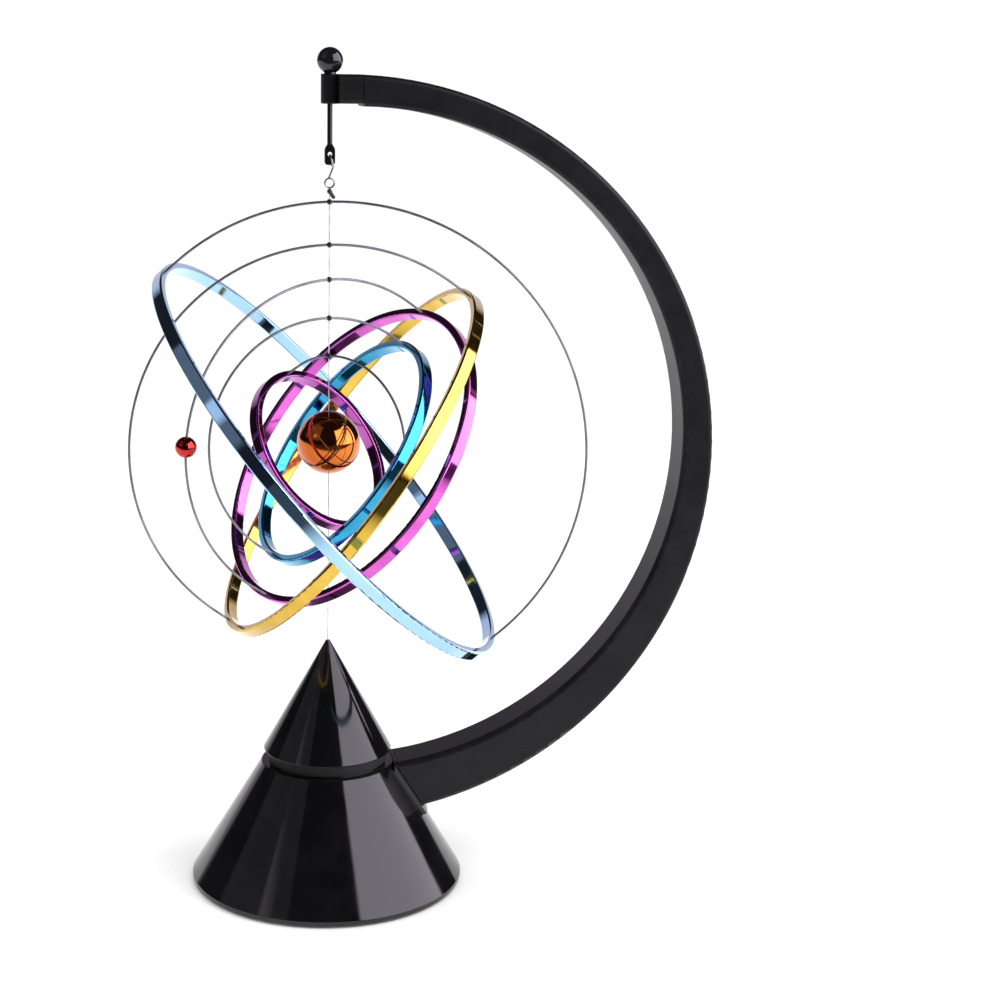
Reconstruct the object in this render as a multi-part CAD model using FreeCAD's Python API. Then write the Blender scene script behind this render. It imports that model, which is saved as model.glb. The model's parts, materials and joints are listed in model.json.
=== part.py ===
import FreeCAD, Part
import math
import os

from FreeCAD import Placement, Rotation, Vector

# Desk orrery: a conical battery base, a C-shaped arm and five free-turning hoops that hang
# on one thread around a mirror ball.  Millimetres, +Z up, the arm points along +X.
# Every piece is built about the thread axis (x = 0, y = 0, table at z = 0).  At the end the
# whole assembly is moved so that the origin is the bottom centre of its bounding box.

# ---------------------------------------------------------------- base: lower and upper cone
BASE_RADIUS = 55.0
FOOT_PROUD = 0.8
RIM_HEIGHT = 2.0
LOWER_CONE_TOP_Z = 50.0
LOWER_CONE_TOP_RADIUS = 26.7
CONE_WALL = 2.2
GROOVE_HEIGHT = 5.0
UPPER_CONE_RADIUS = 26.0
UPPER_CONE_APEX_Z = 101.6
CONE_TIP_RADIUS = 0.85
THREAD_HOLE_RADIUS = 0.5
THREAD_HOLE_INNER_RADIUS = 1.0
NECK_INSET = 2.4
SPIGOT_INSET = 0.9
SPIGOT_DEPTH = 6.0
SLIP = 0.1
EDGE_ROUND = 0.6

# ---------------------------------------------------------------- base: plate, door, feet
PLATE_RECESS = 0.8
PLATE_THICKNESS = 2.0
PLATE_GAP = 0.25
BOSS_RADIUS = 3.2
BOSS_WALL_INSET = 8.455
BOSS_HEIGHT = 11.4
SCREW_RADIUS = 1.1
SCREW_LENGTH = 9.0
SCREW_HEAD_RADIUS = 2.4
SCREW_HEAD_HEIGHT = 1.2
FOOT_RADIUS = 4.0
FOOT_INSET = 9.0
FOOT_SEAT = 0.6
DOOR_FLANGE = 1.2
DOOR_FLANGE_THICKNESS = 0.7
DOOR_PLUG_HEIGHT = 1.6
DOOR_GAP = 0.2
NOTCH_RADIUS = 5.0

# ---------------------------------------------------------------- battery tray and electronics
CELL_RADIUS = 7.1
CELL_LENGTH = 49.2
CELL_NUB_RADIUS = 2.6
CELL_NUB_LENGTH = 1.0
CELL_PITCH = 14.4
CELL_COUNT = 4
CELL_GAP = 0.6
CONTACT_THICKNESS = 0.5
CONTACT_HEIGHT = 10.0
CONTACT_WIDTH = 9.0
TRAY_WALL = 1.5
TRAY_CORNER = 4.0
STANDOFF_HEIGHT = 1.6
STANDOFF_RADIUS = 2.0
BOARD_LENGTH = 46.0
BOARD_DEPTH = 36.0
BOARD_THICKNESS = 1.6
BOARD_HOLE_INSET = 4.0
BOARD_SCREW_RADIUS = 0.9
BOARD_SCREW_HEAD_RADIUS = 1.8
BOARD_SCREW_HEAD_HEIGHT = 1.2
BOARD_SCREW_LENGTH = 3.8
COIL_HEIGHT = 14.0
COIL_FLANGE_RADIUS = 11.0
COIL_FLANGE_THICKNESS = 1.2
COIL_BARREL_RADIUS = 4.0
COIL_WINDING_RADIUS = 10.0
COIL_CORE_RADIUS = 2.5
COIL_CORE_PROUD = 0.8
CAPACITOR_RADIUS = 3.0
CAPACITOR_HEIGHT = 8.0
TRANSISTOR_RADIUS = 2.3
TRANSISTOR_HEIGHT = 4.8
TRANSISTOR_LEG_HEIGHT = 1.5
PART_OFFSET_X = 17.0
MAGNET_RADIUS = 4.0
MAGNET_HEIGHT = 4.0
MAGNET_GAP = 3.4
HOLDER_RADIUS = 4.8
HOLDER_HEIGHT = 3.2
HOLDER_LIP = 1.0

# ---------------------------------------------------------------- arm, socket, hanger bracket
ARM_OUTER_RADIUS = 148.0
ARM_FOOT_X = 32.7
ARM_FOOT_Z = 29.65
ARM_WIDTH = 19.0
ARM_TIP_THICKNESS = 12.0
ARM_MIDDLE_THICKNESS = 12.6
ARM_ROOT_THICKNESS = 20.6
ARM_ROOT_ANGLE = -80.0
ARM_EDGE_ROUND = 2.0
ARM_TIP_X = 12.0
TONGUE_WALL = 1.6
SOCKET_WALL = 2.5
SOCKET_TOP_WALL = 0.6
SOCKET_PROUD = 1.4
SOCKET_GAP = 0.15
ARM_SCREW_RADIUS = 1.4
ARM_SCREW_LENGTH = 11.0
ARM_SCREW_HEAD_RADIUS = 2.6
ARM_SCREW_HEAD_HEIGHT = 1.8
ARM_SCREW_DROPS = (9.8, 16.2)
SLEEVE_PLAY = 0.06
SLEEVE_WALL = 2.44
SLEEVE_HEIGHT = 11.2
BRACKET_START_X = 2.6
BRACKET_INSET = 1.0
BRACKET_WIDTH = 18.4
TENON_LENGTH = 8.0
TENON_WIDTH = 9.0
TENON_HEIGHT = 6.0

# ---------------------------------------------------------------- hanger: knob, rod, hook, thread
KNOB_RADIUS = 5.0
KNOB_COLLAR_RADIUS = 2.3
KNOB_COLLAR_HEIGHT = 1.6
ROD_RADIUS = 1.0
ROD_SHANK_LENGTH = 26.0
EYE_LENGTH = 8.2
EYE_WIDTH = 4.0
EYE_THICKNESS = 1.8
EYE_HOLE_RADIUS = 0.85
EYE_HOLE_RISE = 4.1
HOOK_WIRE_RADIUS = 0.35
HOOK_TOP_RADIUS = 2.45
HOOK_SEAT_DROP = 0.3
HOOK_TILT = 16.0
HOOK_LOOP_RADIUS = 1.8
HOOK_LOOP_DROP = 11.0
KNOT_RADIUS = 1.0
KNOT_TAIL_RADIUS = 0.75
KNOT_TAIL_LENGTH = 1.6
KNOT_TAIL_TILT = 35.0
THREAD_RADIUS = 0.2
THREAD_PLAY = 0.05
THREAD_SPLIT_GAP = 0.2
SWING_PIVOT_DROP = 0.1

# ---------------------------------------------------------------- ball, carriers
SUN_RADIUS = 12.5
SUN_Z = 181.1
PLANET_RADIUS = 4.1
PLANET_ANGLE = 86.0
BEAD_RADIUS = 1.1
WIRE_RADIUS = 0.5
WIRE_SEAT = 2.0
HOOP_WIDTH = 5.0
HOOP_THICKNESS = 3.0
HOOP_EDGE_ROUND = 0.7
# name, radius, height of the bead, turn about the thread, tilt of the hoop's axis, offset of
# the wire's centre from the thread, straight leg between the half circle and the hoop
CARRIERS = (
    ("blue", 97.0, 275.2, -14.0, 48.5, 4.5, 3.0),
    ("gold", 80.0, 258.7, 182.0, 54.0, -2.0, 5.7),
    ("magenta", 64.6, 245.3, 204.8, 56.0, -1.4, 7.4),
    ("teal", 49.0, 230.3, 194.8, 55.5, 0.4, 5.3),
    ("purple", 33.0, 215.4, -43.6, 57.0, 3.5, 7.1),
)

# ---------------------------------------------------------------- sizes that follow
SKIRT_Z = FOOT_PROUD
CONE_FOOT_Z = SKIRT_Z + RIM_HEIGHT
CONE_SLOPE = (BASE_RADIUS - LOWER_CONE_TOP_RADIUS) / (LOWER_CONE_TOP_Z - CONE_FOOT_Z)
CONE_WALL_FLAT = CONE_WALL * math.hypot(1.0, CONE_SLOPE)
UPPER_CONE_Z = LOWER_CONE_TOP_Z + GROOVE_HEIGHT
UPPER_SLOPE = UPPER_CONE_RADIUS / (UPPER_CONE_APEX_Z - UPPER_CONE_Z)
UPPER_WALL_FLAT = CONE_WALL * math.hypot(1.0, UPPER_SLOPE)
CONE_TIP_Z = UPPER_CONE_APEX_Z - CONE_TIP_RADIUS / UPPER_SLOPE
NECK_RADIUS = UPPER_CONE_RADIUS - NECK_INSET
SPIGOT_RADIUS = NECK_RADIUS - SPIGOT_INSET
SPIGOT_Z = LOWER_CONE_TOP_Z - SPIGOT_DEPTH

PLATE_Z = SKIRT_Z + PLATE_RECESS
PLATE_TOP_Z = PLATE_Z + PLATE_THICKNESS
PLATE_BAY_RADIUS = BASE_RADIUS - CONE_SLOPE * (PLATE_TOP_Z - CONE_FOOT_Z) - CONE_WALL_FLAT
BOSS_CIRCLE = PLATE_BAY_RADIUS - BOSS_WALL_INSET
FOOT_CIRCLE = BASE_RADIUS - FOOT_INSET
TRAY_INNER_X = CELL_COUNT * CELL_PITCH + 2.0 * CELL_GAP
TRAY_INNER_Y = CELL_LENGTH + 2.0 * (CELL_NUB_LENGTH + CONTACT_THICKNESS)
CELL_Z = PLATE_TOP_Z + CELL_RADIUS + 2.0 * CELL_GAP
TRAY_ROOF_Z = CELL_Z + CELL_RADIUS + CELL_GAP
TRAY_TOP_Z = TRAY_ROOF_Z + TRAY_WALL
BOARD_Z = TRAY_TOP_Z + STANDOFF_HEIGHT
BOARD_TOP_Z = BOARD_Z + BOARD_THICKNESS
CORE_TOP_Z = BOARD_TOP_Z + COIL_HEIGHT + COIL_CORE_PROUD
MAGNET_Z = CORE_TOP_Z + MAGNET_GAP
HOLDER_TOP_Z = MAGNET_Z + MAGNET_HEIGHT + HOLDER_HEIGHT

ARM_CENTRE_X = ARM_FOOT_X - ARM_OUTER_RADIUS * math.cos(math.radians(ARM_ROOT_ANGLE))
ARM_CENTRE_Z = ARM_FOOT_Z - ARM_OUTER_RADIUS * math.sin(math.radians(ARM_ROOT_ANGLE))
ARM_TOP_Z = ARM_CENTRE_Z + ARM_OUTER_RADIUS
SLEEVE_BORE_RADIUS = ROD_RADIUS + SLEEVE_PLAY
SLEEVE_RADIUS = SLEEVE_BORE_RADIUS + SLEEVE_WALL
TONGUE_X = SPIGOT_RADIUS + NECK_INSET + SPIGOT_INSET + TONGUE_WALL
SLEEVE_Z = ARM_TOP_Z - SLEEVE_HEIGHT
KNOB_Z = ARM_TOP_Z + KNOB_RADIUS
ROD_BOTTOM_Z = SLEEVE_Z - (ROD_SHANK_LENGTH - SLEEVE_HEIGHT) - EYE_LENGTH
EYE_Z = ROD_BOTTOM_Z + EYE_HOLE_RISE
HOOK_LOOP_Z = EYE_Z - HOOK_LOOP_DROP
KNOT_Z = HOOK_LOOP_Z - HOOK_LOOP_RADIUS - HOOK_WIRE_RADIUS - KNOT_RADIUS
SWING_Z = CONE_TIP_Z - SWING_PIVOT_DROP
THREAD_BORE = THREAD_RADIUS + THREAD_PLAY


# ---------------------------------------------------------------- helpers
def cylinder(radius, z_low, z_high, x=0.0, y=0.0):
    return Part.makeCylinder(radius, z_high - z_low, Vector(x, y, z_low))


def block(x_low, x_high, y_low, y_high, z_low, z_high):
    corner = Vector(x_low, y_low, z_low)
    return Part.makeBox(x_high - x_low, y_high - y_low, z_high - z_low, corner)


def rounded_wire(corners):
    """Closed wire through (point, radius) corners, each corner rounded by its radius."""
    count = len(corners)
    starts = []
    ends = []
    arcs = []
    for i in range(count):
        point, radius = corners[i]
        before = (corners[i - 1][0] - point).normalize()
        after = (corners[(i + 1) % count][0] - point).normalize()
        if radius <= 0.0:
            starts.append(point)
            ends.append(point)
            arcs.append(None)
            continue
        half = before.getAngle(after) / 2.0
        reach = radius / math.tan(half)
        bisector = (before + after).normalize()
        centre = point + bisector * (radius / math.sin(half))
        starts.append(point + before * reach)
        ends.append(point + after * reach)
        arcs.append(centre - bisector * radius)
    edges = []
    for i in range(count):
        if arcs[i] is not None:
            edges.append(Part.Arc(starts[i], arcs[i], ends[i]).toShape())
        following = starts[(i + 1) % count]
        if ends[i].distanceToPoint(following) > 1e-6:
            edges.append(Part.LineSegment(ends[i], following).toShape())
    return Part.Wire(edges)


def turned(profile):
    """Solid of revolution about Z from (radius, z, corner rounding) rows."""
    corners = [(Vector(radius, 0.0, z), rounding) for radius, z, rounding in profile]
    face = Part.Face(rounded_wire(corners))
    return face.revolve(Vector(0, 0, 0), Vector(0, 0, 1), 360)


def rounded_plate(size_x, size_y, z_low, z_high, rounding):
    half_x = size_x / 2.0
    half_y = size_y / 2.0
    signs = ((-1, -1), (1, -1), (1, 1), (-1, 1))
    corners = [(Vector(sx * half_x, sy * half_y, z_low), rounding) for sx, sy in signs]
    return Part.Face(rounded_wire(corners)).extrude(Vector(0, 0, z_high - z_low))


def around(shape, count, start_angle=0.0):
    """Copies of a shape at equal turns about the thread axis."""
    copies = []
    for i in range(count):
        copy = shape.copy()
        copy.rotate(Vector(0, 0, 0), Vector(0, 0, 1), start_angle + i * 360.0 / count)
        copies.append(copy)
    return copies


def fused(shapes):
    return shapes[0].multiFuse(shapes[1:]).removeSplitter()


def lower_cone_radius(z):
    return BASE_RADIUS - CONE_SLOPE * (z - CONE_FOOT_Z)


# ---------------------------------------------------------------- arm outline
def arm_point(radius, angle):
    turn = math.radians(angle)
    x = ARM_CENTRE_X + radius * math.cos(turn)
    z = ARM_CENTRE_Z + radius * math.sin(turn)
    return Vector(x, 0.0, z)


def on_circle(centre, radius, x, side):
    """Point of a circle in the arm's plane at a given x, above (+1) or below (-1) its centre."""
    reach = math.sqrt(radius ** 2 - (x - centre.x) ** 2)
    return Vector(x, 0.0, centre.z + side * reach)


def arm_solid(grow_out, grow_in, grow_side, root_x):
    """The arm's curved bar, grown outwards, inwards and sideways, from root_x to its tip."""
    outer_centre = Vector(ARM_CENTRE_X, 0.0, ARM_CENTRE_Z)
    outer_radius = ARM_OUTER_RADIUS + grow_out
    inner_tip = arm_point(ARM_OUTER_RADIUS - ARM_TIP_THICKNESS, 90.0)
    inner_middle = arm_point(ARM_OUTER_RADIUS - ARM_MIDDLE_THICKNESS, 0.0)
    inner_root = arm_point(ARM_OUTER_RADIUS - ARM_ROOT_THICKNESS, ARM_ROOT_ANGLE)
    inner_circle = Part.Circle(inner_tip, inner_middle, inner_root)
    inner_centre = inner_circle.Center
    inner_radius = inner_circle.Radius - grow_in
    outer_start = on_circle(outer_centre, outer_radius, ARM_TIP_X, 1)
    outer_end = on_circle(outer_centre, outer_radius, root_x, -1)
    inner_start = on_circle(inner_centre, inner_radius, ARM_TIP_X, 1)
    inner_end = on_circle(inner_centre, inner_radius, root_x, -1)
    outer_side = outer_centre + Vector(outer_radius, 0, 0)
    inner_side = inner_centre + Vector(inner_radius, 0, 0)
    edges = [
        Part.Arc(outer_start, outer_side, outer_end).toShape(),
        Part.LineSegment(outer_end, inner_end).toShape(),
        Part.Arc(inner_end, inner_side, inner_start).toShape(),
        Part.LineSegment(inner_start, outer_start).toShape(),
    ]
    width = ARM_WIDTH + 2.0 * grow_side
    face = Part.Face(Part.Wire(edges))
    face.translate(Vector(0, -width / 2.0, 0))
    return face.extrude(Vector(0, width, 0))


def arm_screw_heights():
    root_top = on_circle(Vector(ARM_CENTRE_X, 0, ARM_CENTRE_Z), ARM_OUTER_RADIUS - ARM_ROOT_THICKNESS,
                         TONGUE_X, -1).z
    return [root_top - drop for drop in ARM_SCREW_DROPS]


def tenon(gap):
    middle = ARM_TOP_Z - ARM_TIP_THICKNESS / 2.0
    half_y = TENON_WIDTH / 2.0 + gap
    half_z = TENON_HEIGHT / 2.0 + gap
    return block(ARM_TIP_X, ARM_TIP_X + TENON_LENGTH + gap, -half_y, half_y, middle - half_z, middle + half_z)


# ---------------------------------------------------------------- base shells
def make_lower_cone():
    inner_at_rim = BASE_RADIUS - CONE_WALL_FLAT
    inner_at_spigot = lower_cone_radius(SPIGOT_Z) - CONE_WALL_FLAT
    bore = SPIGOT_RADIUS + SLIP
    shell = turned((
        (inner_at_rim, SKIRT_Z, 0.0),
        (BASE_RADIUS, SKIRT_Z, EDGE_ROUND),
        (BASE_RADIUS, CONE_FOOT_Z, EDGE_ROUND),
        (LOWER_CONE_TOP_RADIUS, LOWER_CONE_TOP_Z, EDGE_ROUND),
        (bore, LOWER_CONE_TOP_Z, 0.0),
        (bore, SPIGOT_Z, 0.0),
        (inner_at_spigot, SPIGOT_Z, 0.0),
        (inner_at_rim, CONE_FOOT_Z, 0.0),
    ))
    boss = cylinder(BOSS_RADIUS, PLATE_TOP_Z, PLATE_TOP_Z + BOSS_HEIGHT, BOSS_CIRCLE)
    proud = SOCKET_PROUD * math.hypot(1.0, CONE_SLOPE)
    envelope = Part.makeCone(BASE_RADIUS + proud, LOWER_CONE_TOP_RADIUS - CONE_SLOPE * GROOVE_HEIGHT + proud,
                             UPPER_CONE_Z - CONE_FOOT_Z, Vector(0, 0, CONE_FOOT_Z))
    collar = arm_solid(SOCKET_WALL, SOCKET_TOP_WALL, SOCKET_WALL, TONGUE_X - TONGUE_WALL).common(envelope)
    body = fused([shell, collar] + around(boss, 4))
    body = body.cut(arm_solid(SOCKET_GAP, SOCKET_GAP, SOCKET_GAP, TONGUE_X))
    pilot = cylinder(SCREW_RADIUS, PLATE_TOP_Z, PLATE_TOP_Z + SCREW_LENGTH, BOSS_CIRCLE)
    body = body.cut(Part.makeCompound(around(pilot, 4)))
    for z in arm_screw_heights():
        hole = Part.makeCylinder(ARM_SCREW_RADIUS + SLIP, 2.0 * TONGUE_WALL,
                                 Vector(TONGUE_X - 1.5 * TONGUE_WALL, 0, z), Vector(1, 0, 0))
        body = body.cut(hole)
    return body


def make_upper_cone():
    inner_radius = UPPER_CONE_RADIUS - UPPER_WALL_FLAT
    inner_apex_z = UPPER_CONE_Z + (inner_radius - THREAD_HOLE_INNER_RADIUS) / UPPER_SLOPE
    return turned((
        (THREAD_HOLE_RADIUS, CONE_TIP_Z, 0.0),
        (THREAD_HOLE_INNER_RADIUS, inner_apex_z, 0.0),
        (inner_radius - NECK_INSET, UPPER_CONE_Z + NECK_INSET / UPPER_SLOPE, 0.0),
        (inner_radius - NECK_INSET, SPIGOT_Z, 0.0),
        (SPIGOT_RADIUS, SPIGOT_Z, 0.0),
        (SPIGOT_RADIUS, LOWER_CONE_TOP_Z, 0.0),
        (NECK_RADIUS, LOWER_CONE_TOP_Z, 0.0),
        (NECK_RADIUS, UPPER_CONE_Z, 0.0),
        (UPPER_CONE_RADIUS, UPPER_CONE_Z, EDGE_ROUND / 2.0),
        (CONE_TIP_RADIUS, CONE_TIP_Z, 0.0),
    ))


def make_base_plate():
    plate = cylinder(PLATE_BAY_RADIUS - PLATE_GAP, PLATE_Z, PLATE_TOP_Z)
    opening = rounded_plate(TRAY_INNER_X, TRAY_INNER_Y, PLATE_Z, PLATE_TOP_Z, TRAY_WALL)
    seat = cylinder(FOOT_RADIUS, PLATE_Z, PLATE_Z + FOOT_SEAT, FOOT_CIRCLE)
    hole = cylinder(SCREW_RADIUS + SLIP, PLATE_Z, PLATE_TOP_Z, BOSS_CIRCLE)
    counterbore = cylinder(SCREW_HEAD_RADIUS + SLIP, PLATE_Z, PLATE_Z + SCREW_HEAD_HEIGHT, BOSS_CIRCLE)
    cuts = [opening] + around(seat, 4, 45.0) + around(hole, 4) + around(counterbore, 4)
    return plate.cut(fused(cuts))


def make_base_screws():
    head = cylinder(SCREW_HEAD_RADIUS, PLATE_Z, PLATE_Z + SCREW_HEAD_HEIGHT, BOSS_CIRCLE)
    shank = cylinder(SCREW_RADIUS, PLATE_Z, PLATE_TOP_Z + SCREW_LENGTH, BOSS_CIRCLE)
    slot = block(BOSS_CIRCLE - SCREW_HEAD_RADIUS, BOSS_CIRCLE + SCREW_HEAD_RADIUS, -0.3, 0.3,
                 PLATE_Z, PLATE_Z + SCREW_HEAD_HEIGHT / 2.0)
    return Part.makeCompound(around(head.fuse(shank).cut(slot), 4))


def make_rubber_feet():
    foot = Part.makeCylinder(FOOT_RADIUS, PLATE_Z + FOOT_SEAT, Vector(FOOT_CIRCLE, 0, 0))
    return Part.makeCompound(around(foot, 4, 45.0))


def make_battery_door():
    flange = rounded_plate(TRAY_INNER_X + 2.0 * DOOR_FLANGE, TRAY_INNER_Y + 2.0 * DOOR_FLANGE,
                           PLATE_Z - DOOR_FLANGE_THICKNESS, PLATE_Z, TRAY_CORNER)
    plug = rounded_plate(TRAY_INNER_X - 2.0 * DOOR_GAP, TRAY_INNER_Y - 2.0 * DOOR_GAP,
                         PLATE_Z, PLATE_Z + DOOR_PLUG_HEIGHT, TRAY_WALL)
    notch = cylinder(NOTCH_RADIUS, PLATE_Z - DOOR_FLANGE_THICKNESS, PLATE_Z + DOOR_PLUG_HEIGHT / 2.0,
                     0.0, TRAY_INNER_Y / 2.0 - DOOR_FLANGE - NOTCH_RADIUS)
    return flange.fuse(plug).cut(notch).removeSplitter()


# ---------------------------------------------------------------- batteries and electronics
def make_battery_tray():
    outer = rounded_plate(TRAY_INNER_X + 2.0 * TRAY_WALL, TRAY_INNER_Y + 2.0 * TRAY_WALL,
                          PLATE_TOP_Z, TRAY_TOP_Z, TRAY_CORNER)
    inner = rounded_plate(TRAY_INNER_X, TRAY_INNER_Y, PLATE_TOP_Z, TRAY_ROOF_Z, TRAY_WALL)
    tray = outer.cut(inner)
    for x, y in board_holes():
        tray = tray.fuse(cylinder(STANDOFF_RADIUS, TRAY_TOP_Z, BOARD_Z, x, y))
    for x, y in board_holes():
        tray = tray.cut(cylinder(BOARD_SCREW_RADIUS, BOARD_TOP_Z - BOARD_SCREW_LENGTH, BOARD_Z, x, y))
    return tray.removeSplitter()


def cell_positions():
    first = -CELL_PITCH * (CELL_COUNT - 1) / 2.0
    return [first + i * CELL_PITCH for i in range(CELL_COUNT)]


def make_battery_cells():
    cells = []
    for i, x in enumerate(cell_positions()):
        side = 1.0 if i % 2 else -1.0
        can = Part.makeCylinder(CELL_RADIUS, CELL_LENGTH, Vector(x, -CELL_LENGTH / 2.0, CELL_Z), Vector(0, 1, 0))
        nub = Part.makeCylinder(CELL_NUB_RADIUS, CELL_NUB_LENGTH, Vector(x, side * CELL_LENGTH / 2.0, CELL_Z),
                                Vector(0, side, 0))
        cells.append(can.fuse(nub))
    return Part.makeCompound(cells)


def make_battery_contacts():
    outside = TRAY_INNER_Y / 2.0
    inside = outside - CONTACT_THICKNESS
    half = CONTACT_WIDTH / 2.0
    xs = cell_positions()
    spans = [(xs[0], xs[1], -1), (xs[2], xs[3], -1), (xs[0], xs[0], 1), (xs[1], xs[2], 1), (xs[3], xs[3], 1)]
    strips = []
    for first, last, side in spans:
        y_low, y_high = sorted((side * inside, side * outside))
        strips.append(block(first - half, last + half, y_low, y_high,
                            CELL_Z - CONTACT_HEIGHT / 2.0, CELL_Z + CONTACT_HEIGHT / 2.0))
    return Part.makeCompound(strips)


def board_holes():
    x = BOARD_LENGTH / 2.0 - BOARD_HOLE_INSET
    y = BOARD_DEPTH / 2.0 - BOARD_HOLE_INSET
    return [(-x, -y), (x, -y), (x, y), (-x, y)]


def make_circuit_board():
    board = rounded_plate(BOARD_LENGTH, BOARD_DEPTH, BOARD_Z, BOARD_TOP_Z, TRAY_WALL)
    for x, y in board_holes():
        board = board.cut(cylinder(BOARD_SCREW_RADIUS + SLIP, BOARD_Z, BOARD_TOP_Z, x, y))
    return board


def make_board_screws():
    screws = []
    for x, y in board_holes():
        head = cylinder(BOARD_SCREW_HEAD_RADIUS, BOARD_TOP_Z, BOARD_TOP_Z + BOARD_SCREW_HEAD_HEIGHT, x, y)
        shank = cylinder(BOARD_SCREW_RADIUS, BOARD_TOP_Z - BOARD_SCREW_LENGTH, BOARD_TOP_Z, x, y)
        screws.append(head.fuse(shank))
    return Part.makeCompound(screws)


def make_coil_bobbin():
    top = BOARD_TOP_Z + COIL_HEIGHT
    low_flange = BOARD_TOP_Z + COIL_FLANGE_THICKNESS
    high_flange = top - COIL_FLANGE_THICKNESS
    return turned((
        (COIL_CORE_RADIUS, BOARD_TOP_Z, 0.0),
        (COIL_FLANGE_RADIUS, BOARD_TOP_Z, 0.0),
        (COIL_FLANGE_RADIUS, low_flange, 0.0),
        (COIL_BARREL_RADIUS, low_flange, 0.0),
        (COIL_BARREL_RADIUS, high_flange, 0.0),
        (COIL_FLANGE_RADIUS, high_flange, 0.0),
        (COIL_FLANGE_RADIUS, top, 0.0),
        (COIL_CORE_RADIUS, top, 0.0),
    ))


def make_coil_winding():
    low = BOARD_TOP_Z + COIL_FLANGE_THICKNESS
    high = BOARD_TOP_Z + COIL_HEIGHT - COIL_FLANGE_THICKNESS
    return cylinder(COIL_WINDING_RADIUS, low, high).cut(cylinder(COIL_BARREL_RADIUS, low, high))


def make_coil_core():
    return cylinder(COIL_CORE_RADIUS, BOARD_TOP_Z, CORE_TOP_Z)


def make_capacitor():
    return cylinder(CAPACITOR_RADIUS, BOARD_TOP_Z, BOARD_TOP_Z + CAPACITOR_HEIGHT, PART_OFFSET_X, 0.0)


def make_transistor():
    body_z = BOARD_TOP_Z + TRANSISTOR_LEG_HEIGHT
    body = cylinder(TRANSISTOR_RADIUS, body_z, body_z + TRANSISTOR_HEIGHT, -PART_OFFSET_X, 0.0)
    flat = block(-PART_OFFSET_X - 2.0 * TRANSISTOR_RADIUS, -PART_OFFSET_X - TRANSISTOR_RADIUS / 2.0,
                 -2.0 * TRANSISTOR_RADIUS, 2.0 * TRANSISTOR_RADIUS, body_z, body_z + TRANSISTOR_HEIGHT)
    legs = [block(-PART_OFFSET_X - 0.25, -PART_OFFSET_X + 0.25, y - 0.25, y + 0.25, BOARD_TOP_Z, body_z)
            for y in (-1.27, 0.0, 1.27)]
    return fused([body.cut(flat)] + legs)


def make_magnet():
    return cylinder(MAGNET_RADIUS, MAGNET_Z, MAGNET_Z + MAGNET_HEIGHT)


def make_magnet_holder():
    magnet_top = MAGNET_Z + MAGNET_HEIGHT
    return turned((
        (THREAD_RADIUS, magnet_top, 0.0),
        (MAGNET_RADIUS, magnet_top, 0.0),
        (MAGNET_RADIUS, magnet_top - HOLDER_LIP, 0.0),
        (HOLDER_RADIUS, magnet_top - HOLDER_LIP, 0.0),
        (HOLDER_RADIUS, magnet_top + HOLDER_HEIGHT / 3.0, EDGE_ROUND),
        (1.5 * KNOT_RADIUS, HOLDER_TOP_Z, 0.0),
        (THREAD_RADIUS, HOLDER_TOP_Z, 0.0),
    ))


# ---------------------------------------------------------------- arm and bracket
def make_arm():
    arm = arm_solid(0.0, 0.0, 0.0, TONGUE_X)
    long_edges = [edge for edge in arm.Edges if edge.Length > ARM_OUTER_RADIUS]
    arm = arm.makeFillet(ARM_EDGE_ROUND, long_edges)
    arm = arm.cut(tenon(SLIP))
    for z in arm_screw_heights():
        pilot = Part.makeCylinder(ARM_SCREW_RADIUS, ARM_SCREW_LENGTH - TONGUE_WALL, Vector(TONGUE_X, 0, z),
                                  Vector(1, 0, 0))
        arm = arm.cut(pilot)
    return arm


def make_arm_screws():
    screws = []
    seat_x = TONGUE_X - TONGUE_WALL
    for z in arm_screw_heights():
        shank = Part.makeCylinder(ARM_SCREW_RADIUS, ARM_SCREW_LENGTH, Vector(seat_x, 0, z), Vector(1, 0, 0))
        head = Part.makeCylinder(ARM_SCREW_HEAD_RADIUS, ARM_SCREW_HEAD_HEIGHT, Vector(seat_x, 0, z),
                                 Vector(-1, 0, 0))
        screws.append(shank.fuse(head))
    return Part.makeCompound(screws)


def make_hanger_bracket():
    sleeve = turned((
        (0.0, SLEEVE_Z, 0.0),
        (SLEEVE_RADIUS, SLEEVE_Z, EDGE_ROUND),
        (SLEEVE_RADIUS, ARM_TOP_Z, EDGE_ROUND / 2.0),
        (0.0, ARM_TOP_Z, 0.0),
    ))
    arm_top_at_tip = ARM_CENTRE_Z + math.sqrt(ARM_OUTER_RADIUS ** 2 - (ARM_TIP_X - ARM_CENTRE_X) ** 2)
    bottom = ARM_TOP_Z - ARM_TIP_THICKNESS + BRACKET_INSET
    head = block(BRACKET_START_X, ARM_TIP_X, -BRACKET_WIDTH / 2.0, BRACKET_WIDTH / 2.0, bottom, arm_top_at_tip)
    along = [edge for edge in head.Edges if edge.BoundBox.XLength > ARM_TIP_X - BRACKET_START_X - 0.001]
    head = head.makeFillet(ARM_EDGE_ROUND, along)
    bracket = fused([sleeve, head, tenon(0.0)])
    return bracket.cut(cylinder(SLEEVE_BORE_RADIUS, SLEEVE_Z, ARM_TOP_Z))


# ---------------------------------------------------------------- hanger
def make_hanger_knob():
    ball = Part.makeSphere(KNOB_RADIUS, Vector(0, 0, KNOB_Z))
    collar = cylinder(KNOB_COLLAR_RADIUS, ARM_TOP_Z, ARM_TOP_Z + KNOB_COLLAR_HEIGHT)
    return fused([ball, collar]).cut(cylinder(ROD_RADIUS, ARM_TOP_Z, KNOB_Z))


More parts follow.
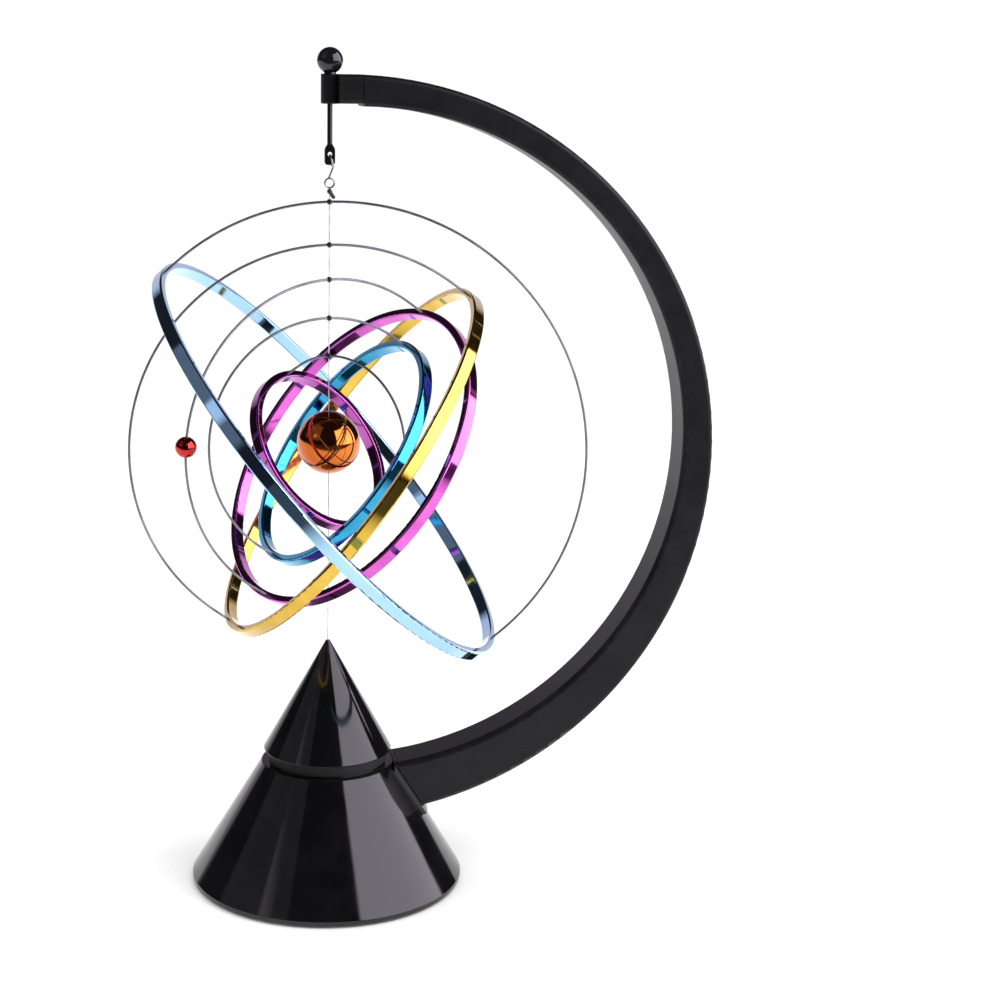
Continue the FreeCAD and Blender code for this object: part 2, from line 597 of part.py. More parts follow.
def make_hanger_rod():
    shoulder_z = ROD_BOTTOM_Z + EYE_LENGTH
    half = EYE_WIDTH / 2.0
    shank = cylinder(ROD_RADIUS, shoulder_z - EDGE_ROUND, KNOB_Z)
    outline = rounded_wire((
        (Vector(-half, 0, ROD_BOTTOM_Z), half * 0.6),
        (Vector(half, 0, ROD_BOTTOM_Z), half * 0.6),
        (Vector(half, 0, shoulder_z - EYE_HOLE_RISE / 2.0), half),
        (Vector(ROD_RADIUS * 0.7, 0, shoulder_z), 0.0),
        (Vector(-ROD_RADIUS * 0.7, 0, shoulder_z), 0.0),
        (Vector(-half, 0, shoulder_z - EYE_HOLE_RISE / 2.0), half),
    ))
    paddle = Part.Face(outline)
    paddle.translate(Vector(0, -EYE_THICKNESS / 2.0, 0))
    paddle = paddle.extrude(Vector(0, EYE_THICKNESS, 0))
    hole = Part.makeCylinder(EYE_HOLE_RADIUS, EYE_WIDTH, Vector(0, -EYE_WIDTH / 2.0, EYE_Z), Vector(0, 1, 0))
    return fused([shank, paddle]).cut(hole)


def make_s_hook():
    tilt = math.radians(HOOK_TILT)
    down = Vector(math.sin(tilt), 0.0, -math.cos(tilt))
    top_centre = Vector(0, 0, EYE_Z - HOOK_SEAT_DROP) + down * HOOK_TOP_RADIUS
    top_normal = Vector(math.cos(tilt), 0.0, math.sin(tilt))
    top = Part.makeTorus(HOOK_TOP_RADIUS, HOOK_WIRE_RADIUS, top_centre, top_normal)
    loop = Part.makeTorus(HOOK_LOOP_RADIUS, HOOK_WIRE_RADIUS, Vector(0, 0, HOOK_LOOP_Z), Vector(0, 1, 0))
    shank_top = top_centre + down * HOOK_TOP_RADIUS
    shank_low = Vector(-HOOK_WIRE_RADIUS, 0, HOOK_LOOP_Z + HOOK_LOOP_RADIUS * 0.98)
    run = shank_low - shank_top
    shank = Part.makeCylinder(HOOK_WIRE_RADIUS, run.Length, shank_top, run)
    return fused([top, loop, shank])


def make_thread_knot():
    tail_turn = math.radians(KNOT_TAIL_TILT)
    along = Vector(math.sin(tail_turn), 0, -math.cos(tail_turn))
    centre = Vector(0, 0, KNOT_Z)
    tail = Part.makeCylinder(KNOT_TAIL_RADIUS, KNOT_RADIUS + KNOT_TAIL_LENGTH, centre, along)
    end = Part.makeSphere(KNOT_TAIL_RADIUS, centre + along * (KNOT_RADIUS + KNOT_TAIL_LENGTH))
    knot = fused([Part.makeSphere(KNOT_RADIUS, centre), tail, end])
    return knot.cut(cylinder(THREAD_BORE, KNOT_Z - 3.0 * KNOT_RADIUS, KNOT_Z + KNOT_RADIUS / 2.0))


def make_thread():
    return cylinder(THREAD_RADIUS, SWING_Z, KNOT_Z)


def make_magnet_thread():
    return cylinder(THREAD_RADIUS, MAGNET_Z + MAGNET_HEIGHT, SWING_Z - THREAD_SPLIT_GAP)


def make_sun_ball():
    ball = Part.makeSphere(SUN_RADIUS, Vector(0, 0, SUN_Z))
    return ball.cut(cylinder(THREAD_RADIUS, SUN_Z - 2.0 * SUN_RADIUS, SUN_Z + 2.0 * SUN_RADIUS))


# ---------------------------------------------------------------- carriers
def carrier_wire(radius, leg):
    """Half circle and two straight legs, about its centre: the hoop's axis is +Z."""
    section = Part.Face(Part.Wire(Part.makeCircle(WIRE_RADIUS, Vector(-radius, 0, 0), Vector(0, 0, 1))))
    bow = section.revolve(Vector(0, 0, 0), Vector(0, 1, 0), 180)
    length = leg + WIRE_SEAT
    legs = [Part.makeCylinder(WIRE_RADIUS, length, Vector(x, 0, -length)) for x in (-radius, radius)]
    return bow.multiFuse(legs).removeSplitter()


def carrier_hoop(radius, leg):
    half_t = HOOP_THICKNESS / 2.0
    return turned((
        (radius - half_t, -leg - HOOP_WIDTH, HOOP_EDGE_ROUND),
        (radius + half_t, -leg - HOOP_WIDTH, HOOP_EDGE_ROUND),
        (radius + half_t, -leg, HOOP_EDGE_ROUND),
        (radius - half_t, -leg, HOOP_EDGE_ROUND),
    ))


def make_carrier(index):
    """Wire, hoop and bead of one carrier, and the placement of its half circle's centre."""
    radius, bead_z, turn, tilt, offset, leg = CARRIERS[index][1:]
    wire = carrier_wire(radius, leg)
    hoop = carrier_hoop(radius, leg).cut(wire)
    heading = math.radians(turn)
    centre_z = bead_z - math.sqrt(radius ** 2 - offset ** 2)
    centre = Vector(offset * math.cos(heading), offset * math.sin(heading), centre_z)
    rotation = Rotation(Vector(0, 0, 1), turn).multiply(Rotation(Vector(0, 1, 0), tilt))
    placement = Placement(centre, rotation)
    wire.Placement = placement
    hoop.Placement = placement
    bead = Part.makeSphere(BEAD_RADIUS, Vector(0, 0, bead_z))
    bore = cylinder(THREAD_BORE, bead_z - 2.0 * BEAD_RADIUS, bead_z + 2.0 * BEAD_RADIUS)
    return wire.cut(bead), hoop, bead.cut(bore), placement


def make_planet(index, placement):
    """Bead threaded on a carrier's half circle, at PLANET_ANGLE from straight up."""
    radius = CARRIERS[index][1]
    from_axis = PLANET_ANGLE - CARRIERS[index][4]
    bead = Part.makeSphere(PLANET_RADIUS, Vector(0, 0, radius))
    bow = Part.makeTorus(radius, WIRE_RADIUS, Vector(0, 0, 0), Vector(0, 1, 0))
    planet = bead.cut(bow)
    planet.rotate(Vector(0, 0, 0), Vector(0, 1, 0), from_axis)
    planet.Placement = placement.multiply(planet.Placement)
    return planet


# ---------------------------------------------------------------- assembly
def make_parts():
    parts = {
        "lower_cone": make_lower_cone(),
        "upper_cone": make_upper_cone(),
        "base_plate": make_base_plate(),
        "base_screws": make_base_screws(),
        "rubber_feet": make_rubber_feet(),
        "battery_door": make_battery_door(),
        "battery_tray": make_battery_tray(),
        "battery_cells": make_battery_cells(),
        "battery_contacts": make_battery_contacts(),
        "circuit_board": make_circuit_board(),
        "board_screws": make_board_screws(),
        "coil_bobbin": make_coil_bobbin(),
        "coil_winding": make_coil_winding(),
        "coil_core": make_coil_core(),
        "capacitor": make_capacitor(),
        "transistor": make_transistor(),
        "magnet": make_magnet(),
        "magnet_holder": make_magnet_holder(),
        "magnet_thread": make_magnet_thread(),
        "arm": make_arm(),
        "arm_screws": make_arm_screws(),
        "hanger_bracket": make_hanger_bracket(),
        "hanger_knob": make_hanger_knob(),
        "hanger_rod": make_hanger_rod(),
        "s_hook": make_s_hook(),
        "thread_knot": make_thread_knot(),
        "thread": make_thread(),
        "sun_ball": make_sun_ball(),
    }
    for index, carrier in enumerate(CARRIERS):
        name = carrier[0]
        wire, hoop, bead, placement = make_carrier(index)
        parts[name + "_wire"] = wire
        parts[name + "_hoop"] = hoop
        parts[name + "_bead"] = bead
        if name == "magenta":
            parts["red_planet"] = make_planet(index, placement)
    return parts


def main():
    parts = make_parts()
    bounds = Part.makeCompound(list(parts.values())).optimalBoundingBox(False, False)
    shift = Vector(-(bounds.XMin + bounds.XMax) / 2.0, -(bounds.YMin + bounds.YMax) / 2.0, -bounds.ZMin)
    os.makedirs("parts", exist_ok=True)
    for name, shape in parts.items():
        moved = shape.copy()
        moved.translate(shift)
        moved.exportStep("parts/" + name + ".step")
    print("thread axis at x %.4f, y %.4f" % (shift.x, shift.y))
    print("swing pivot at z %.4f" % (SWING_Z + shift.z))
    print("height %.2f" % bounds.ZLength)


main()
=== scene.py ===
import json
import math

import bpy
from mathutils import Matrix, Vector


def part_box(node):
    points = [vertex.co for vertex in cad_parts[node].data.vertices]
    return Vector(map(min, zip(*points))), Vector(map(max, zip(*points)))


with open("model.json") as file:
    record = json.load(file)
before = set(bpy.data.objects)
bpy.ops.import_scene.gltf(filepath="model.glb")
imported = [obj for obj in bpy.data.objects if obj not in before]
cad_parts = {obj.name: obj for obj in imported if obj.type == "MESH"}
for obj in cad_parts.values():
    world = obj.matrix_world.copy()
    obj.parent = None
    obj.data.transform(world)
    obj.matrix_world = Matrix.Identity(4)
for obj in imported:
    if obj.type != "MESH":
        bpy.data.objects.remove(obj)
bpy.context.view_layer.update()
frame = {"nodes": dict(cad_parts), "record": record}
nodes = frame["nodes"]

thread_low, thread_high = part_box("thread")
AXIS = (thread_low + thread_high) / 2.0
AXIS.z = 0.0


# ------------------------------------------------------------------ node helpers
class Shader:
    """A material's node tree with a Principled shader, and short calls that add to it."""

    def __init__(self, name):
        self.material = bpy.data.materials.new(name)
        self.material.use_nodes = True
        self.tree = self.material.node_tree
        self.tree.nodes.clear()
        self.out = self.add("ShaderNodeOutputMaterial")
        self.bsdf = self.add("ShaderNodeBsdfPrincipled")
        self.join(self.bsdf.outputs[0], self.out.inputs[0])
        self.place = self.add("ShaderNodeTexCoord").outputs["Object"]

    def add(self, kind, **values):
        node = self.tree.nodes.new(kind)
        for key, value in values.items():
            setattr(node, key, value)
        return node

    def join(self, source, target):
        self.tree.links.new(source, target)

    def put(self, target, value):
        if isinstance(value, bpy.types.NodeSocket):
            self.join(value, target)
        else:
            target.default_value = value

    def set(self, **values):
        for key, value in values.items():
            self.put(self.bsdf.inputs[key.replace("_", " ")], value)
        return self

    def stretched(self, factors):
        node = self.add("ShaderNodeMapping")
        self.join(self.place, node.inputs["Vector"])
        node.inputs["Scale"].default_value = factors
        return node.outputs[0]

    def noise(self, scale, detail=3.0, roughness=0.5, source=None, distortion=0.0):
        node = self.add("ShaderNodeTexNoise")
        self.join(source or self.place, node.inputs["Vector"])
        node.inputs["Scale"].default_value = scale
        node.inputs["Detail"].default_value = detail
        node.inputs["Roughness"].default_value = roughness
        node.inputs["Distortion"].default_value = distortion
        return node.outputs["Fac"]

    def cells(self, scale):
        node = self.add("ShaderNodeTexVoronoi", feature="F1")
        self.join(self.place, node.inputs["Vector"])
        node.inputs["Scale"].default_value = scale
        return node.outputs["Distance"]

    def bands(self, scale, direction, distortion=0.0):
        node = self.add("ShaderNodeTexWave", wave_type="BANDS", bands_direction=direction)
        self.join(self.place, node.inputs["Vector"])
        node.inputs["Scale"].default_value = scale
        node.inputs["Distortion"].default_value = distortion
        return node.outputs["Fac"]

    def axis_value(self, axis):
        node = self.add("ShaderNodeSeparateXYZ")
        self.join(self.place, node.inputs[0])
        return node.outputs[axis]

    def fit(self, value, low, high, to_low=0.0, to_high=1.0):
        """value from low..high spread over to_low..to_high, and held at both ends."""
        node = self.add("ShaderNodeMapRange")
        self.join(value, node.inputs[0])
        for i, number in enumerate((low, high, to_low, to_high)):
            node.inputs[i + 1].default_value = number
        return node.outputs[0]

    def mix(self, factor, first, second):
        node = self.add("ShaderNodeMix", data_type="RGBA")
        self.put(node.inputs["Factor"], factor)
        for socket, colour in ((node.inputs[6], first), (node.inputs[7], second)):
            self.put(socket, colour if isinstance(colour, bpy.types.NodeSocket) else (*colour, 1.0))
        return node.outputs[2]

    def math(self, operation, first, second):
        node = self.add("ShaderNodeMath", operation=operation)
        self.put(node.inputs[0], first)
        self.put(node.inputs[1], second)
        return node.outputs[0]

    def bump(self, height, depth, strength, after=None):
        """Bump whose full height is depth metres."""
        node = self.add("ShaderNodeBump")
        self.join(height, node.inputs["Height"])
        node.inputs["Distance"].default_value = depth
        node.inputs["Strength"].default_value = strength
        if after is not None:
            self.join(after, node.inputs["Normal"])
        self.join(node.outputs[0], self.bsdf.inputs["Normal"])
        return node.outputs[0]


# ------------------------------------------------------------------ materials
# Heights and lengths below are in metres.
NECK = (0.0502, 0.0547)  # the groove between the two cones
MATT_EDGE = 0.0002
MATT_ROUGHNESS = 0.7
DUST_GREY = (0.3, 0.3, 0.3)
CELL_SHOULDER = 0.0165  # from the middle of a cell's length
CELL_BARE_END = 0.0243
CAPACITOR_STRIPE = 0.0018  # from the thread's axis
CAPACITOR_TOP = 0.0321
TRANSISTOR_CASE = 0.02575


def moulded_plastic(name, colour, roughness, spread, peel_scale, peel_depth, coat=0.0, ior=1.5, matt=None):
    """Injection-moulded plastic: slow waves, fine orange peel, faint rubbed patches and dust.

    matt holds the two heights between which the mould was left unpolished, if it was.
    """
    s = Shader(name)
    waves = s.noise(18.0, 2.0)
    rubbed = s.noise(55.0, 5.0, 0.65, distortion=0.6)
    dust = s.fit(s.cells(900.0), 0.0, 0.11, 1.0, 0.0)
    rare = s.math("MULTIPLY", dust, s.fit(s.noise(160.0), 0.62, 0.7))
    lighter = tuple(c * 1.7 + 0.002 for c in colour)
    base = s.mix(s.fit(rubbed, 0.35, 0.75), colour, lighter)
    s.set(Base_Color=s.mix(s.math("MULTIPLY", rare, 0.25), base, DUST_GREY))
    worn = s.fit(rubbed, 0.3, 0.8, roughness, roughness + spread)
    polish = s.math("ADD", worn, s.math("MULTIPLY", rare, 0.3))
    if matt:
        low, high = matt
        height = s.axis_value(2)
        above = s.fit(height, low, low + MATT_EDGE)
        below = s.fit(height, high - MATT_EDGE, high, 1.0, 0.0)
        band = s.math("MULTIPLY", above, below)
        polish = s.math("ADD", polish, s.math("MULTIPLY", band, MATT_ROUGHNESS))
    s.set(Roughness=polish)
    s.bsdf.inputs["IOR"].default_value = ior
    s.bsdf.inputs["Coat Weight"].default_value = coat
    s.bsdf.inputs["Coat Roughness"].default_value = 0.04
    slow = s.bump(waves, 0.00012, 0.35)
    s.bump(s.noise(peel_scale, 2.0), peel_depth, 0.4, slow)
    return s.material


def lacquered_mirror(name, colour, deep, roughness=0.035):
    """Vacuum-metallised plastic under a tinted lacquer: the tint pools, the mirror ripples a little."""
    s = Shader(name)
    pool = s.noise(70.0, 3.0, 0.55)
    haze = s.noise(260.0, 4.0, 0.6)
    hairline = s.noise(900.0, 2.0, 0.5, s.stretched((1.0, 0.16, 0.4)))
    speck = s.fit(s.cells(420.0), 0.0, 0.06, 1.0, 0.0)
    rare = s.math("MULTIPLY", speck, s.fit(s.noise(120.0), 0.6, 0.66))
    tint = s.mix(s.fit(pool, 0.35, 0.7), colour, deep)
    s.set(Base_Color=s.mix(s.math("MULTIPLY", rare, 0.6), tint, tuple(c * 0.15 for c in deep)))
    s.bsdf.inputs["Metallic"].default_value = 1.0
    s.bsdf.inputs["Coat Weight"].default_value = 0.5
    s.bsdf.inputs["Coat Roughness"].default_value = 0.03
    s.bsdf.inputs["Coat IOR"].default_value = 1.55
    fine = s.math("ADD", s.fit(haze, 0.35, 0.8, roughness, roughness + 0.05),
                  s.fit(hairline, 0.62, 0.75, 0.0, 0.05))
    s.set(Roughness=s.math("ADD", fine, s.math("MULTIPLY", rare, 0.2)))
    slow = s.bump(s.noise(38.0, 2.0), 0.0002, 0.28)
    s.bump(hairline, 0.00001, 0.25, slow)
    return s.material


def drawn_metal(name, colour, roughness, along):
    """Drawn or turned metal with fine lines, darker tarnish in patches."""
    s = Shader(name)
    lines = s.noise(2600.0, 2.0, 0.6, s.stretched(along))
    tarnish = s.noise(140.0, 4.0, 0.6)
    dark = tuple(c * 0.55 for c in colour)
    s.set(Base_Color=s.mix(s.fit(tarnish, 0.4, 0.75), colour, dark))
    s.bsdf.inputs["Metallic"].default_value = 1.0
    s.set(Roughness=s.math("ADD", s.fit(tarnish, 0.3, 0.8, roughness, roughness + 0.15),
                           s.fit(lines, 0.4, 0.7, 0.0, 0.08)))
    s.bump(lines, 0.00002, 0.5)
    return s.material


def rubber(name):
    s = Shader(name)
    grain = s.noise(2200.0, 3.0)
    chalk = s.noise(180.0, 5.0, 0.7)
    s.set(Base_Color=s.mix(s.fit(chalk, 0.45, 0.8), (0.02, 0.02, 0.021), (0.075, 0.073, 0.07)))
    s.set(Roughness=s.fit(chalk, 0.3, 0.8, 0.65, 0.9))
    s.bump(grain, 0.00006, 0.6)
    return s.material


def eroded_plastic(name, colour):
    """Matt plastic with the even pitted texture of a spark-eroded mould."""
    s = Shader(name)
    pits = s.cells(1500.0)
    wear = s.noise(60.0, 5.0, 0.7)
    s.set(Base_Color=s.mix(s.fit(wear, 0.4, 0.75), colour, tuple(c * 1.8 for c in colour)))
    s.set(Roughness=s.fit(wear, 0.3, 0.8, 0.45, 0.62))
    s.bump(pits, 0.00008, 0.5)
    return s.material


def nylon_thread(name):
    s = Shader(name)
    painted_glint = s.noise(500.0, 2.0, 0.5, s.stretched((1.0, 1.0, 0.3)))
    # Painted highlight: the lighter grey flecks along the thread are painted glints in the base colour; the
    # same noise also varies the roughness.
    s.set(Base_Color=s.mix(s.fit(painted_glint, 0.4, 0.6), (0.3, 0.3, 0.31), (0.62, 0.62, 0.64)))
    s.set(Roughness=s.fit(painted_glint, 0.3, 0.7, 0.2, 0.4))
    s.bump(s.bands(700.0, "Z"), 0.00002, 0.5)
    return s.material


def battery_sleeve(name):
    """Plain printed sleeve: dark body, copper-coloured shoulder, bare steel ends."""
    s = Shader(name)
    y = s.axis_value(1)
    offset = s.math("ABSOLUTE", s.math("SUBTRACT", y, AXIS.y), 0.0)
    print_grain = s.noise(900.0, 3.0)
    shoulder = s.fit(offset, CELL_SHOULDER, CELL_SHOULDER + 0.0003)
    bare = s.fit(offset, CELL_BARE_END, CELL_BARE_END + 0.0001)
    body = s.mix(s.fit(print_grain, 0.4, 0.7), (0.016, 0.017, 0.02), (0.03, 0.031, 0.036))
    copper = s.mix(s.fit(print_grain, 0.4, 0.7), (0.5, 0.22, 0.08), (0.62, 0.3, 0.12))
    s.set(Base_Color=s.mix(bare, s.mix(shoulder, body, copper), (0.6, 0.6, 0.6)))
    s.set(Metallic=s.fit(offset, CELL_SHOULDER, CELL_SHOULDER + 0.0003, 0.0, 0.9))
    s.set(Roughness=s.fit(s.noise(220.0, 4.0), 0.3, 0.8, 0.18, 0.36))
    s.bump(s.noise(120.0, 3.0), 0.00005, 0.4)
    return s.material


def circuit_board(name):
    """Green solder mask over copper tracks, with a woven glass texture in the laminate."""
    s = Shader(name)
    tracks = s.fit(s.bands(150.0, "X", 2.5), 0.82, 0.86)
    weave = s.math("MULTIPLY", s.bands(800.0, "X"), s.bands(800.0, "Y"))
    mask = s.mix(s.fit(weave, 0.1, 0.9), (0.006, 0.07, 0.025), (0.012, 0.11, 0.04))
    s.set(Base_Color=s.mix(tracks, mask, (0.05, 0.24, 0.07)))
    s.set(Roughness=s.fit(s.noise(300.0), 0.3, 0.7, 0.22, 0.4))
    low = s.bump(tracks, 0.00004, 0.7)
    s.bump(weave, 0.00001, 0.4, low)
    return s.material


def copper_winding(name):
    """Enamelled wire, close wound: one ridge for each turn, with painted shade darkening the grooves
    between turns.
    """
    s = Shader(name)
    turns = s.bands(560.0, "Z", 0.4)
    enamel = s.noise(240.0, 4.0)
    colour = s.mix(s.fit(enamel, 0.35, 0.75), (0.55, 0.17, 0.05), (0.32, 0.08, 0.025))
    # Painted shade: the base colour goes to near black in the low part of each band, the groove between two
    # turns.
    s.set(Base_Color=s.mix(s.fit(turns, 0.0, 0.25, 0.75, 0.0), colour, (0.05, 0.014, 0.006)))
    s.bsdf.inputs["Metallic"].default_value = 0.7
    s.set(Roughness=s.fit(enamel, 0.3, 0.8, 0.22, 0.4))
    s.bump(turns, 0.0002, 0.8)
    return s.material


def capacitor_sleeve(name):
    """Shrink sleeve with a pale polarity stripe and a bare aluminium top."""
    s = Shader(name)
    stripe = AXIS.y + CAPACITOR_STRIPE
    side = s.fit(s.axis_value(1), stripe, stripe + 0.0001)
    top = s.fit(s.axis_value(2), CAPACITOR_TOP, CAPACITOR_TOP + 0.00005)
    wrinkle = s.noise(420.0, 3.0)
    body = s.mix(s.fit(wrinkle, 0.4, 0.7), (0.008, 0.012, 0.04), (0.014, 0.02, 0.06))
    s.set(Base_Color=s.mix(top, s.mix(side, body, (0.45, 0.46, 0.48)), (0.7, 0.7, 0.7)))
    s.set(Metallic=top)
    s.set(Roughness=s.fit(wrinkle, 0.3, 0.8, 0.25, 0.45))
    s.bump(wrinkle, 0.00004, 0.5)
    return s.material


def transistor_case(name):
    """Black epoxy above tinned legs."""
    s = Shader(name)
    case = s.fit(s.axis_value(2), TRANSISTOR_CASE, TRANSISTOR_CASE + 0.0001)
    grain = s.noise(1800.0, 3.0)
    epoxy = s.mix(s.fit(grain, 0.35, 0.7), (0.012, 0.012, 0.012), (0.035, 0.034, 0.033))
    s.set(Base_Color=s.mix(case, (0.68, 0.67, 0.64), epoxy))
    s.set(Metallic=s.fit(case, 0.0, 1.0, 1.0, 0.0))
    s.set(Roughness=s.fit(grain, 0.3, 0.7, 0.4, 0.6))
    s.bump(grain, 0.00003, 0.5)
    return s.material


# Each maker, and for each of its materials the values that follow the name in the maker's call.
MATERIAL_TABLES = (
    (moulded_plastic, {
        "base_gloss_black": ((0.0022, 0.002, 0.0026), 0.06, 0.05, 500.0, 0.00001, 0.0, 1.5, NECK),
        "arm_satin_black": ((0.004, 0.0037, 0.005), 0.34, 0.08, 1100.0, 0.00002, 0.0, 1.3),
        "hanger_black": ((0.004, 0.004, 0.0046), 0.08, 0.06, 900.0, 0.00001, 0.2),
        "bead_black": ((0.004, 0.004, 0.004), 0.15, 0.1, 1500.0, 0.00001),
        "holder_black": ((0.01, 0.01, 0.01), 0.2, 0.1, 900.0, 0.00002),
        "knot_dark": ((0.01, 0.009, 0.009), 0.18, 0.15, 1600.0, 0.00004),
        "bobbin_white": ((0.62, 0.6, 0.52), 0.4, 0.12, 900.0, 0.00002),
    }),
    (eroded_plastic, {
        "base_plate_black": ((0.014, 0.014, 0.0145),),
        "tray_black": ((0.02, 0.02, 0.02),),
    }),
    (rubber, {"foot_rubber": ()}),
    (nylon_thread, {"thread_nylon": ()}),
    (battery_sleeve, {"cell_wrap": ()}),
    (circuit_board, {"board_green": ()}),
    (copper_winding, {"coil_copper": ()}),
    (capacitor_sleeve, {"capacitor_sleeve": ()}),
    (transistor_case, {"transistor_black": ()}),
    (drawn_metal, {
        "core_iron": ((0.3, 0.29, 0.28), 0.3, (1.0, 1.0, 0.02)),
        "magnet_nickel": ((0.66, 0.64, 0.6), 0.12, (1.0, 1.0, 0.05)),
        "screw_steel": ((0.62, 0.62, 0.63), 0.18, (1.0, 0.05, 1.0)),
        "contact_steel": ((0.7, 0.69, 0.66), 0.2, (0.05, 1.0, 1.0)),
        "hook_chrome": ((0.5, 0.5, 0.52), 0.12, (1.0, 1.0, 0.05)),
        "wire_steel": ((0.3, 0.29, 0.33), 0.34, (1.0, 1.0, 0.1)),
    }),
    (lacquered_mirror, {
        "sun_copper_mirror": ((0.66, 0.17, 0.008), (0.55, 0.11, 0.004), 0.03),
        "planet_red_mirror": ((0.62, 0.02, 0.012), (0.45, 0.01, 0.01), 0.04),
        "hoop_blue_mirror": ((0.39, 0.66, 0.93), (0.34, 0.6, 0.86)),
        "hoop_gold_mirror": ((0.76, 0.5, 0.07), (0.64, 0.39, 0.03)),
        "hoop_magenta_mirror": ((0.74, 0.14, 0.64), (0.56, 0.08, 0.46)),
        "hoop_teal_mirror": ((0.02, 0.37, 0.62), (0.012, 0.22, 0.42)),
        "hoop_purple_mirror": ((0.5, 0.11, 0.46), (0.34, 0.06, 0.32)),
    }),
)
materials = {name: make(name, *values) for make, table in MATERIAL_TABLES for name, values in table.items()}

for row in frame["record"]["subparts"]:
    data = nodes[row["node"]].data
    data.materials.clear()
    data.materials.append(materials[row["material_slot"]])


# ------------------------------------------------------------------ floor, world and lights
FLOOR_HALF = 6.0
DIM_START = 0.36  # in reflections the floor fades to dark between these distances before the axis
DIM_FULL = 0.60


def make_floor():
    corners = [(x * FLOOR_HALF, y * FLOOR_HALF, 0) for x, y in ((-1, -1), (1, -1), (1, 1), (-1, 1))]
    mesh = bpy.data.meshes.new("floor")
    mesh.from_pydata(corners, [], [(0, 1, 2, 3)])
    floor = bpy.data.objects.new("floor", mesh)
    bpy.context.scene.collection.objects.link(floor)
    s = Shader("floor_white")
    mesh.materials.append(s.material)
    speck = s.noise(90.0, 4.0, 0.6)
    s.set(Base_Color=s.mix(speck, (0.93, 0.93, 0.935), (0.9, 0.9, 0.905)))
    s.bsdf.inputs["Roughness"].default_value = 0.6
    s.bsdf.inputs["Specular IOR Level"].default_value = 0.2
    dim = s.add("ShaderNodeBsdfDiffuse")
    dim.inputs["Color"].default_value = (0.06, 0.06, 0.066, 1.0)
    front = s.fit(s.axis_value(1), AXIS.y - DIM_FULL, AXIS.y - DIM_START, 1.0, 0.0)
    glossy = s.add("ShaderNodeLightPath").outputs["Is Glossy Ray"]
    choose = s.add("ShaderNodeMixShader")
    s.join(s.math("MULTIPLY", front, glossy), choose.inputs[0])
    s.join(s.bsdf.outputs[0], choose.inputs[1])
    s.join(dim.outputs[0], choose.inputs[2])
    s.join(choose.outputs[0], s.out.inputs[0])


# Soft boxes of the studio, as directions seen from the object: the camera's side is azimuth 0,
# and +X is 90.  Azimuth, its half width, elevation, its half height, edge softness, radiance.
STUDIO = (
    (64.0, 42.0, 15.0, 36.0, 3.0, 4.0),
    (180.0, 42.0, -5.0, 27.0, 6.0, 0.7),
    (-75.0, 34.0, 38.0, 26.0, 3.0, 0.2),
    (-63.0, 8.0, 27.0, 7.0, 3.0, 0.9),
)
STUDIO_DARK = 0.02
STUDIO_TINT = (0.94, 0.88, 1.0, 1.0)
WHITE = (1.0, 1.0, 1.0, 1.0)
WORLD_LIGHT = 1.22  # strength of the even white world on matt surfaces
WORLD_SEEN = 1.04  # and straight into the camera


def make_world():
    world = bpy.data.worlds.new("studio")
    bpy.context.scene.world = world
    world.use_nodes = True
    world.cycles.sampling_method = "NONE"
    tree = world.node_tree
    tree.nodes.clear()

    def add(kind, **values):
        node = tree.nodes.new(kind)
        for key, value in values.items():
            setattr(node, key, value)
        return node

    def calc(operation, *values):
        node = add("ShaderNodeMath", operation=operation)
        for i, value in enumerate(values):
            if isinstance(value, bpy.types.NodeSocket):
                tree.links.new(value, node.inputs[i])
            else:
                node.inputs[i].default_value = value
        return node.outputs[0]

    def clamp(value):
        return calc("MINIMUM", calc("MAXIMUM", value, 0.0), 1.0)

    direction = add("ShaderNodeSeparateXYZ")
    tree.links.new(add("ShaderNodeTexCoord").outputs["Generated"], direction.inputs[0])
    x, y, z = direction.outputs
    to_degrees = 180.0 / math.pi
    azimuth = calc("MULTIPLY", calc("ARCTAN2", x, calc("MULTIPLY", y, -1.0)), to_degrees)
    elevation = calc("MULTIPLY", calc("ARCSINE", z), to_degrees)
    total = STUDIO_DARK
    for centre, half_width, height, half_height, soft, radiance in STUDIO:
        turn = calc("WRAP", calc("SUBTRACT", azimuth, centre), 180.0, -180.0)
        across = calc("DIVIDE", calc("SUBTRACT", half_width, calc("ABSOLUTE", turn)), soft)
        off = calc("SUBTRACT", elevation, height)
        upright = calc("DIVIDE", calc("SUBTRACT", half_height, calc("ABSOLUTE", off)), soft)
        inside = calc("MULTIPLY", clamp(across), clamp(upright))
        total = calc("MAXIMUM", total, calc("MULTIPLY", inside, radiance))
    path = add("ShaderNodeLightPath")
    is_glossy = path.outputs["Is Glossy Ray"]
    glossy = calc("MULTIPLY", total, is_glossy)
    less = calc("MULTIPLY", path.outputs["Is Camera Ray"], WORLD_LIGHT - WORLD_SEEN)
    even = calc("MULTIPLY", calc("SUBTRACT", 1.0, is_glossy), calc("SUBTRACT", WORLD_LIGHT, less))
    background = add("ShaderNodeBackground")
    tint = add("ShaderNodeMix", data_type="RGBA")
    tree.links.new(is_glossy, tint.inputs["Factor"])
    tint.inputs[6].default_value = WHITE
    tint.inputs[7].default_value = STUDIO_TINT
    tree.links.new(tint.outputs[2], background.inputs["Color"])
    tree.links.new(calc("ADD", glossy, even), background.inputs["Strength"])
    tree.links.new(background.outputs[0], add("ShaderNodeOutputWorld").inputs[0])


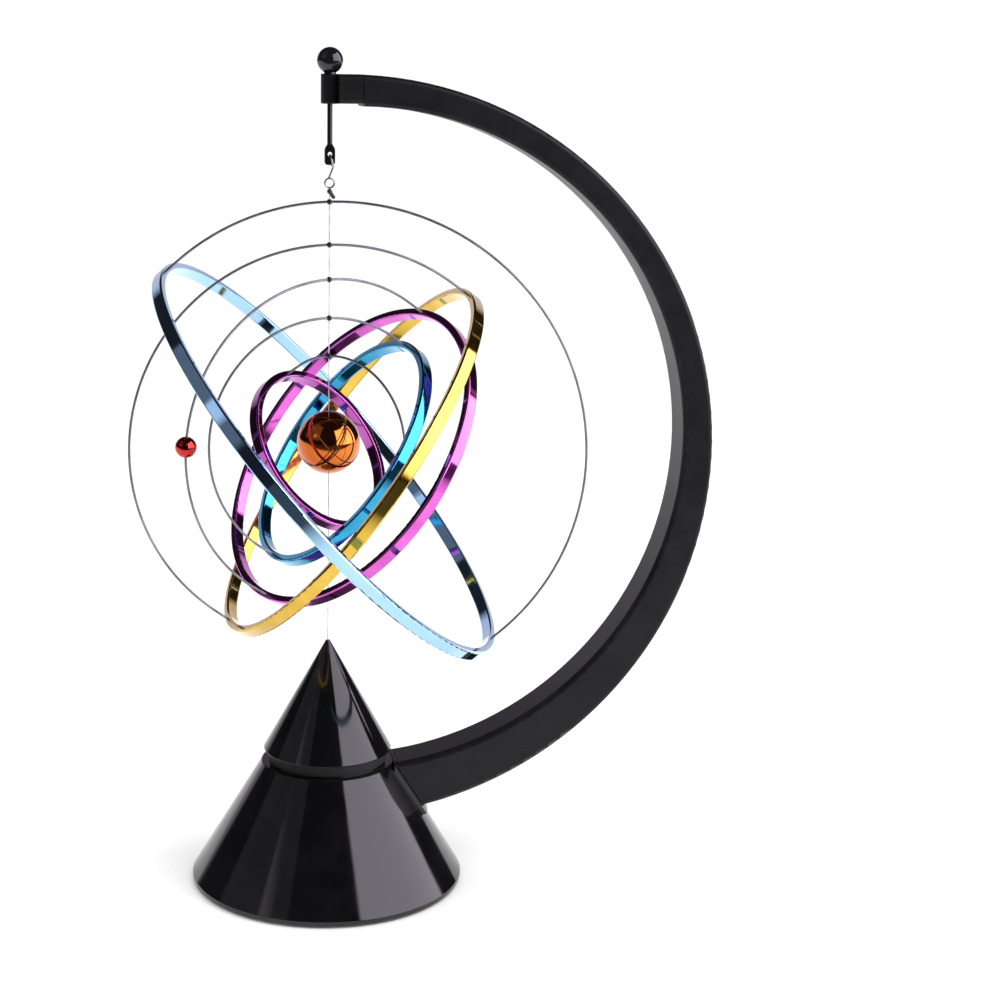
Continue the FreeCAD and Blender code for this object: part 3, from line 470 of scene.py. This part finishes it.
def make_lights():
    """One broad soft key from the right and above, which only shades: its gloss comes from the world."""
    light = bpy.data.lights.new("key", "AREA")
    light.shape = "RECTANGLE"
    light.size = 0.9
    light.size_y = 0.7
    light.energy = 12.0
    light.color = (1.0, 0.99, 0.97)
    key = bpy.data.objects.new("key", light)
    bpy.context.scene.collection.objects.link(key)
    key.location = AXIS + Vector((1.1, -0.5, 1.3))
    aim = AXIS + Vector((0.0, 0.0, 0.1)) - key.location
    key.rotation_euler = aim.to_track_quat("-Z", "Y").to_euler()
    key.visible_glossy = False


# ------------------------------------------------------------------ camera
CAMERA_DISTANCE = 0.7698
CAMERA_HEIGHT = 0.328
CAMERA_TURN = math.radians(-6.9)
CAMERA_PAN = 0.0500
CAMERA_PITCH = 0.2119
CAMERA_ROLL = 0.0144
CAMERA_LENS = 72.80
CAMERA_SHIFT = (0.0663, -0.0010)


def make_camera():
    data = bpy.data.cameras.new("camera")
    data.lens = CAMERA_LENS
    data.sensor_width = 36.0
    data.shift_x, data.shift_y = CAMERA_SHIFT
    data.clip_start = 0.01
    data.clip_end = 30.0
    camera = bpy.data.objects.new("camera", data)
    bpy.context.scene.collection.objects.link(camera)
    ahead = Vector((math.sin(CAMERA_PAN), math.cos(CAMERA_PAN), 0.0))
    forward = ahead * math.cos(CAMERA_PITCH) - Vector((0.0, 0.0, math.sin(CAMERA_PITCH)))
    level = Vector((math.cos(CAMERA_PAN), -math.sin(CAMERA_PAN), 0.0))
    upright = level.cross(forward)
    right = level * math.cos(CAMERA_ROLL) + upright * math.sin(CAMERA_ROLL)
    up = upright * math.cos(CAMERA_ROLL) - level * math.sin(CAMERA_ROLL)
    turn = Matrix.Rotation(CAMERA_TURN, 4, "Z")
    axes = Matrix((right, up, -forward)).transposed().to_4x4()
    spot = Matrix.Translation(Vector((0.0, -CAMERA_DISTANCE, CAMERA_HEIGHT)))
    camera.matrix_world = Matrix.Translation(AXIS) @ turn @ spot @ axes
    bpy.context.scene.camera = camera


make_floor()
make_world()
make_lights()
make_camera()

view = bpy.context.scene.view_settings
view.view_transform = "Standard"
view.look = "None"
